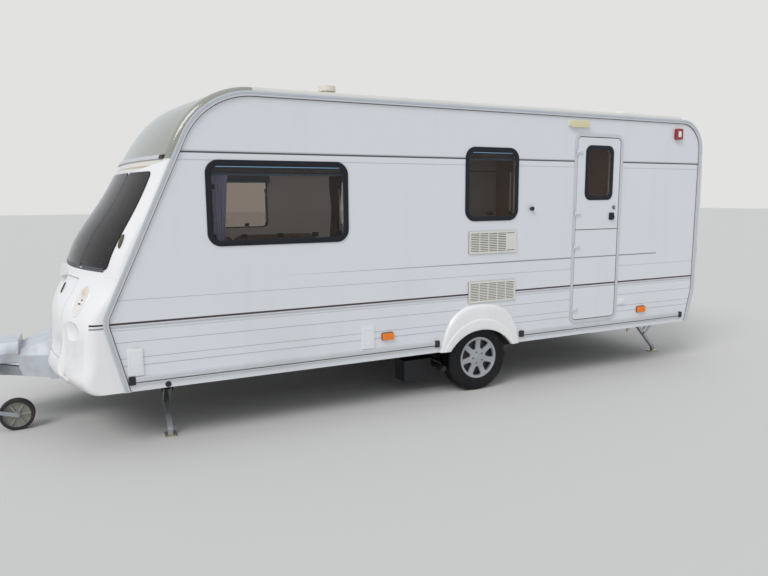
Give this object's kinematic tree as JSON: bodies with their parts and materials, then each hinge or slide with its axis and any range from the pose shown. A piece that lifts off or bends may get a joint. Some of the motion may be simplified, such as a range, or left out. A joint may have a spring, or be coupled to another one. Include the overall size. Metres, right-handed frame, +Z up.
{
  "type": "travel caravan",
  "caption": "Single-axle travel caravan with a sloping front, split entrance door, opening locker lid and rooflights, turning wheels, jockey wheel and folding corner legs.",
  "frame": {"origin": "on the ground, on the centreline, midway along the overall length", "axes": "+X to the rear, -X the towing direction, +Y to the off side, +Z up; the door faces -Y"},
  "size_m": [7.2902, 2.268, 2.6002],
  "materials": {
    "wall_white": "gloss",
    "brow_gloss": "gloss",
    "floor_board": "matte",
    "rail_alu": "satin",
    "black_plastic": "satin",
    "tinted": "gloss",
    "smoked": "gloss",
    "frame_white": "gloss",
    "vent_ivory": "matte",
    "amber": "gloss",
    "red_lens": "gloss",
    "galvanised": "matte",
    "black_metal": "matte",
    "furniture": "satin",
    "upholstery": "matte",
    "curtain": "matte",
    "tyre_rubber": "matte",
    "silver": "satin",
    "jockey_plastic": "matte"
  },
  "bodies": {
    "root": {"side_wall_near": "wall_white", "side_wall_off": "wall_white", "front_lower_panel": "wall_white", "front_window_panel": "wall_white", "roof_panel": "wall_white", "rear_panel": "wall_white", "front_brow_panel": "brow_gloss", "floor_panel": "floor_board", "front_bulkhead": "floor_board", "side_rails": "rail_alu", "skirt_rail_ends": "black_plastic", "black_fittings": "black_plastic", "window_frames": "black_plastic", "wheel_boxes": "black_plastic", "window_panes": "tinted", "door_frame": "frame_white", "wheel_spats": "frame_white", "service_flaps": "frame_white", "rooflight_rims": "frame_white", "drawbar_cover": "frame_white", "roof_flue": "frame_white", "fridge_vents": "vent_ivory", "awning_lamp": "vent_ivory", "waste_outlet": "vent_ivory", "amber_lamps": "amber", "red_lamps": "red_lens", "chassis_frame": "galvanised", "axle_beam": "galvanised", "jockey_outer_tube": "galvanised", "jockey_clamp": "galvanised", "steady_brackets": "galvanised", "coupling_head": "black_metal", "handbrake_lever": "black_metal", "mover_units": "black_metal", "cabin_furniture": "furniture", "seat_cushions": "upholstery", "curtains": "curtain"},
    "door_up": {"door_upper": "wall_white", "door_window_frame": "black_plastic", "door_handle": "black_plastic", "door_window_pane": "tinted"},
    "door_low": {"door_lower": "wall_white"},
    "locker_lid": {"gas_locker_lid": "wall_white"},
    "roof_lid_middle": {"rooflight_lid_middle": "smoked"},
    "roof_lid_rear": {"rooflight_lid_rear": "frame_white"},
    "wheel_near": {"tyre_near": "tyre_rubber", "wheel_near": "silver"},
    "wheel_off": {"tyre_off": "tyre_rubber", "wheel_off": "silver"},
    "jockey_slide": {"jockey_inner_tube": "galvanised"},
    "jockey_swivel": {"jockey_fork": "galvanised"},
    "jockey_roll": {"jockey_wheel": "jockey_plastic"},
    "stay_front_near": {"steady_stay_front_near": "galvanised"},
    "leg_front_near": {"steady_leg_front_near": "galvanised"},
    "stay_front_off": {"steady_stay_front_off": "galvanised"},
    "leg_front_off": {"steady_leg_front_off": "galvanised"},
    "stay_rear_near": {"steady_stay_rear_near": "galvanised"},
    "leg_rear_near": {"steady_leg_rear_near": "galvanised"},
    "stay_rear_off": {"steady_stay_rear_off": "galvanised"},
    "leg_rear_off": {"steady_leg_rear_off": "galvanised"}
  },
  "joints": [
    {"name": "wheel_spin_near", "type": "hinge", "parent": "root", "child": "wheel_near", "pos_m": [0.908, -0.975, 0.298], "axis": [0, 1, 0], "continuous": true},
    {"name": "wheel_spin_off", "type": "hinge", "parent": "root", "child": "wheel_off", "pos_m": [0.908, 0.975, 0.298], "axis": [0, 1, 0], "continuous": true},
    {"name": "door_upper_swing", "type": "hinge", "parent": "root", "child": "door_up", "pos_m": [1.923, -1.114, 1.4], "axis": [0, 0, -1], "range_deg": [0, 165]},
    {"name": "door_lower_swing", "type": "hinge", "parent": "root", "child": "door_low", "pos_m": [1.923, -1.114, 1.4], "axis": [0, 0, -1], "range_deg": [0, 165]},
    {"name": "locker_lid_lift", "type": "hinge", "parent": "root", "child": "locker_lid", "pos_m": [-2.367, 0, 1.15], "axis": [0, 1, 0], "range_deg": [0, 95]},
    {"name": "roof_lid_middle_lift", "type": "hinge", "parent": "root", "child": "roof_lid_middle", "pos_m": [1.658, 0, 2.544], "axis": [0, 1, 0], "range_deg": [0, 60]},
    {"name": "roof_lid_rear_lift", "type": "hinge", "parent": "root", "child": "roof_lid_rear", "pos_m": [3.268, -0.5, 2.544], "axis": [0, 1, 0], "range_deg": [0, 60]},
    {"name": "jockey_wind", "type": "slide", "parent": "root", "child": "jockey_slide", "axis": [0, 0, 1], "range_m": [0, 0.15]},
    {"name": "jockey_swivel_turn", "type": "hinge", "parent": "jockey_slide", "child": "jockey_swivel", "pos_m": [-2.872, -0.305, 0.15], "axis": [0, 0, 1], "continuous": true},
    {"name": "jockey_wheel_spin", "type": "hinge", "parent": "jockey_swivel", "child": "jockey_roll", "pos_m": [-2.732, -0.305, 0.12], "axis": [0, 1, 0], "continuous": true},
    {"name": "steady_wind_front_near", "type": "hinge", "parent": "root", "child": "stay_front_near", "pos_m": [-1.717, -0.91, 0.34], "axis": [1, 0, 0], "range_deg": [0, 38.8]},
    {"name": "steady_leg_front_near", "type": "hinge", "parent": "stay_front_near", "child": "leg_front_near", "pos_m": [-1.717, -0.79157, 0.21389], "axis": [1, 0, 0], "range_deg": [-77.61, 0]},
    {"name": "steady_wind_front_off", "type": "hinge", "parent": "root", "child": "stay_front_off", "pos_m": [-1.717, 0.91, 0.34], "axis": [-1, 0, 0], "range_deg": [0, 38.8]},
    {"name": "steady_leg_front_off", "type": "hinge", "parent": "stay_front_off", "child": "leg_front_off", "pos_m": [-1.717, 0.79157, 0.21389], "axis": [-1, 0, 0], "range_deg": [-77.61, 0]},
    {"name": "steady_wind_rear_near", "type": "hinge", "parent": "root", "child": "stay_rear_near", "pos_m": [3.428, -0.72, 0.34], "axis": [0, 1, 0], "range_deg": [0, 38.8]},
    {"name": "steady_leg_rear_near", "type": "hinge", "parent": "stay_rear_near", "child": "leg_rear_near", "pos_m": [3.30957, -0.72, 0.21389], "axis": [0, 1, 0], "range_deg": [-77.61, 0]},
    {"name": "steady_wind_rear_off", "type": "hinge", "parent": "root", "child": "stay_rear_off", "pos_m": [3.428, 0.72, 0.34], "axis": [0, 1, 0], "range_deg": [0, 38.8]},
    {"name": "steady_leg_rear_off", "type": "hinge", "parent": "stay_rear_off", "child": "leg_rear_off", "pos_m": [3.30957, 0.72, 0.21389], "axis": [0, 1, 0], "range_deg": [-77.61, 0]}
  ],
  "couplings": [
    {"joint": "steady_leg_front_near", "follows": "steady_wind_front_near", "ratio": -2},
    {"joint": "steady_leg_front_off", "follows": "steady_wind_front_off", "ratio": -2},
    {"joint": "steady_leg_rear_near", "follows": "steady_wind_rear_near", "ratio": -2},
    {"joint": "steady_leg_rear_off", "follows": "steady_wind_rear_off", "ratio": -2}
  ]
}
